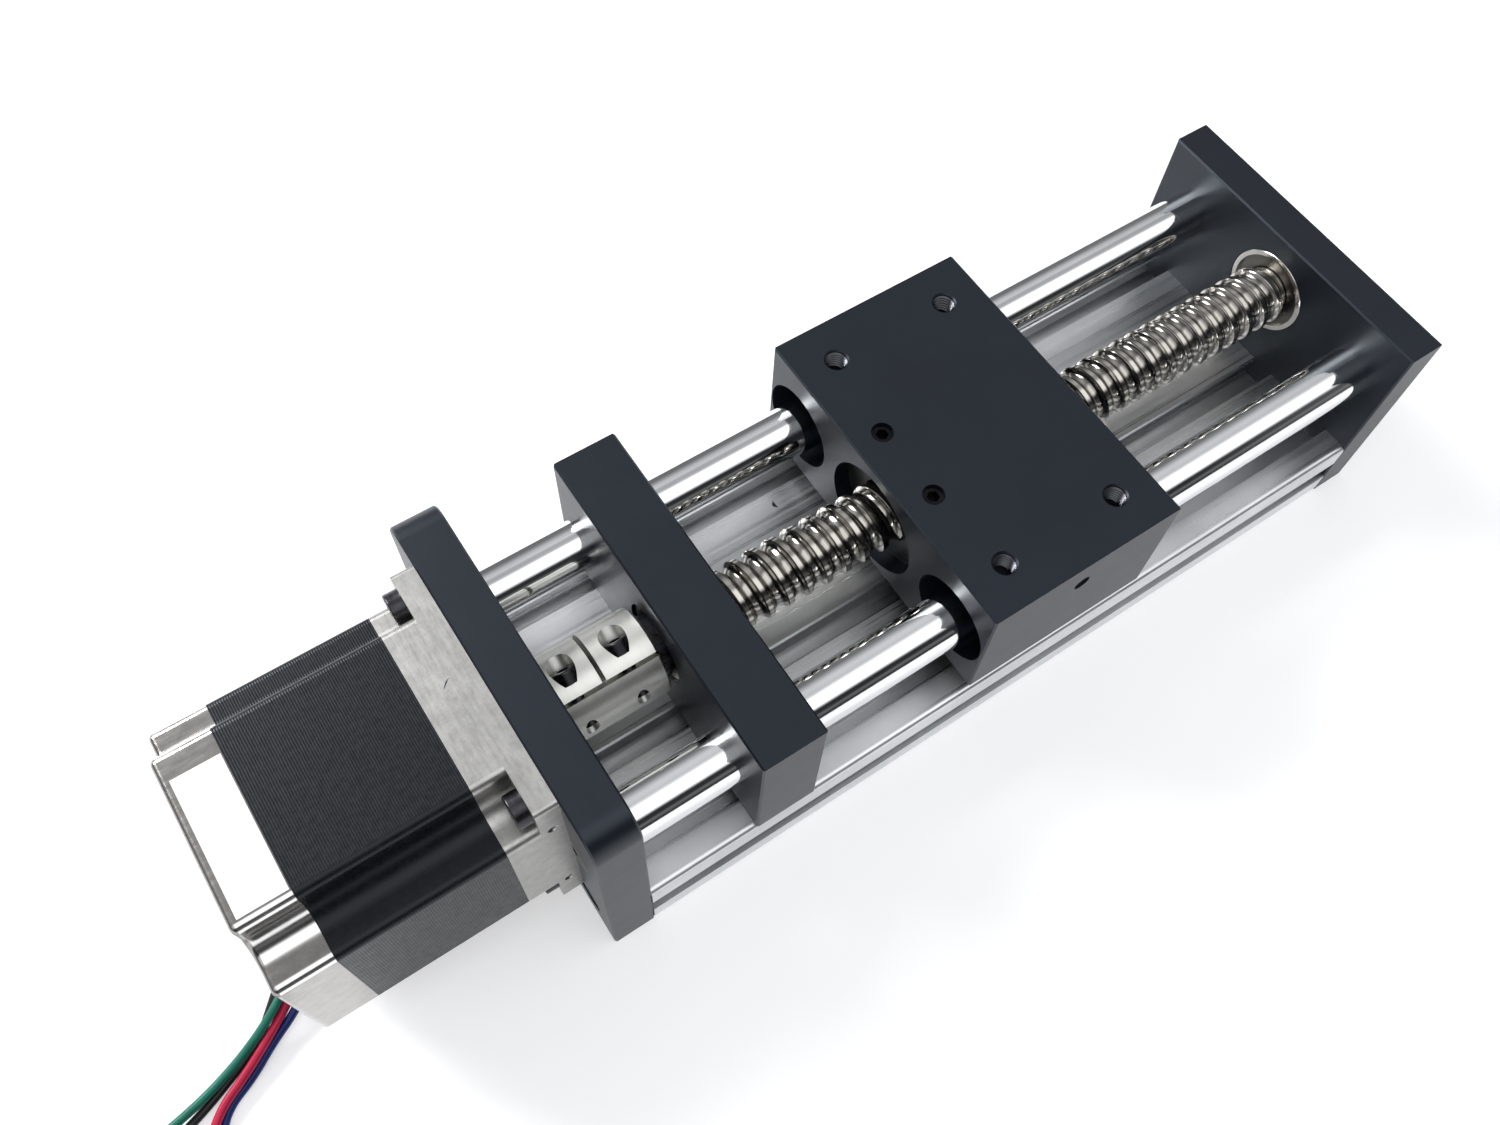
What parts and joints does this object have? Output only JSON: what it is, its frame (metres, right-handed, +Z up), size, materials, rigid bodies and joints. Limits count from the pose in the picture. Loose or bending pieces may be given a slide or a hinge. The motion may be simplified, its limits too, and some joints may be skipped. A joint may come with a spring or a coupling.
{
  "type": "ball screw linear module",
  "caption": "Motor-driven linear module: a slider block on two guide rods, moved by a ball screw over a T-slot base.",
  "frame": {"origin": "centre of the base's underside", "axes": "+X from the motor towards the far end along the screw, +Z up, out of the slider block's top"},
  "size_m": [0.3706, 0.121, 0.0685],
  "materials": {
    "aluminium": "extruded, bare",
    "black_anodised": "black anodised, satin",
    "chromed_steel": "hard chromed, polished",
    "ground_steel": "ground",
    "bearing_steel": "ground",
    "plated_screws": "zinc plated",
    "coupling_alloy": "turned, clear anodised",
    "motor_castings": "die cast",
    "motor_laminations": "black, laminated",
    "label_paper": "blank",
    "black_plastic": "moulded",
    "grommet_rubber": "moulded",
    "lead_black": "insulation",
    "lead_green": "insulation",
    "lead_red": "insulation",
    "lead_blue": "insulation"
  },
  "bodies": {
    "frame": {"base_extrusion": "aluminium", "motor_plate": "black_anodised", "bearing_block": "black_anodised", "end_plate": "black_anodised", "guide_rod_left": "chromed_steel", "guide_rod_right": "chromed_steel", "plate_screws": "plated_screws", "rod_screws": "plated_screws", "block_screws": "plated_screws", "drive_bearing_outer": "bearing_steel", "drive_bearing_shields": "bearing_steel", "end_bearing_outer": "bearing_steel", "end_bearing_shields": "bearing_steel", "motor_front_cap": "motor_castings", "motor_stack": "motor_laminations", "motor_rear_cap": "motor_castings", "motor_label": "label_paper", "motor_grommet": "grommet_rubber", "motor_tie_bolts": "plated_screws", "motor_mount_screws": "plated_screws", "motor_bearing_outer": "bearing_steel", "lead_black": "lead_black", "lead_black_coil": "lead_black", "lead_green": "lead_green", "lead_green_coil": "lead_green", "lead_red": "lead_red", "lead_red_coil": "lead_red", "lead_blue": "lead_blue", "lead_blue_coil": "lead_blue"},
    "screw": {"ball_screw": "ground_steel", "lock_nut": "plated_screws", "coupling": "coupling_alloy", "coupling_screws": "plated_screws", "drive_bearing_inner": "bearing_steel", "end_bearing_inner": "bearing_steel", "motor_rotor": "ground_steel", "motor_bearing_inner": "bearing_steel"},
    "carriage": {"slider_block": "black_anodised", "ball_nut": "ground_steel", "nut_balls": "bearing_steel", "nut_wipers": "black_plastic", "nut_set_screws": "plated_screws", "linear_sleeve_left": "bearing_steel", "linear_sleeve_right": "bearing_steel", "linear_cages": "black_plastic", "side_set_screws": "plated_screws"}
  },
  "joints": [
    {"name": "screw_turn", "type": "hinge", "parent": "frame", "child": "screw", "pos_m": [0, 0, 0.04], "axis": [-1, 0, 0], "range_deg": [-2736, 4896]},
    {"name": "carriage_slide", "type": "slide", "parent": "frame", "child": "carriage", "axis": [1, 0, 0], "range_m": [-0.038, 0.068]}
  ],
  "couplings": [
    {"joint": "screw_turn", "follows": "carriage_slide", "rad_per_m": 1256.6}
  ]
}
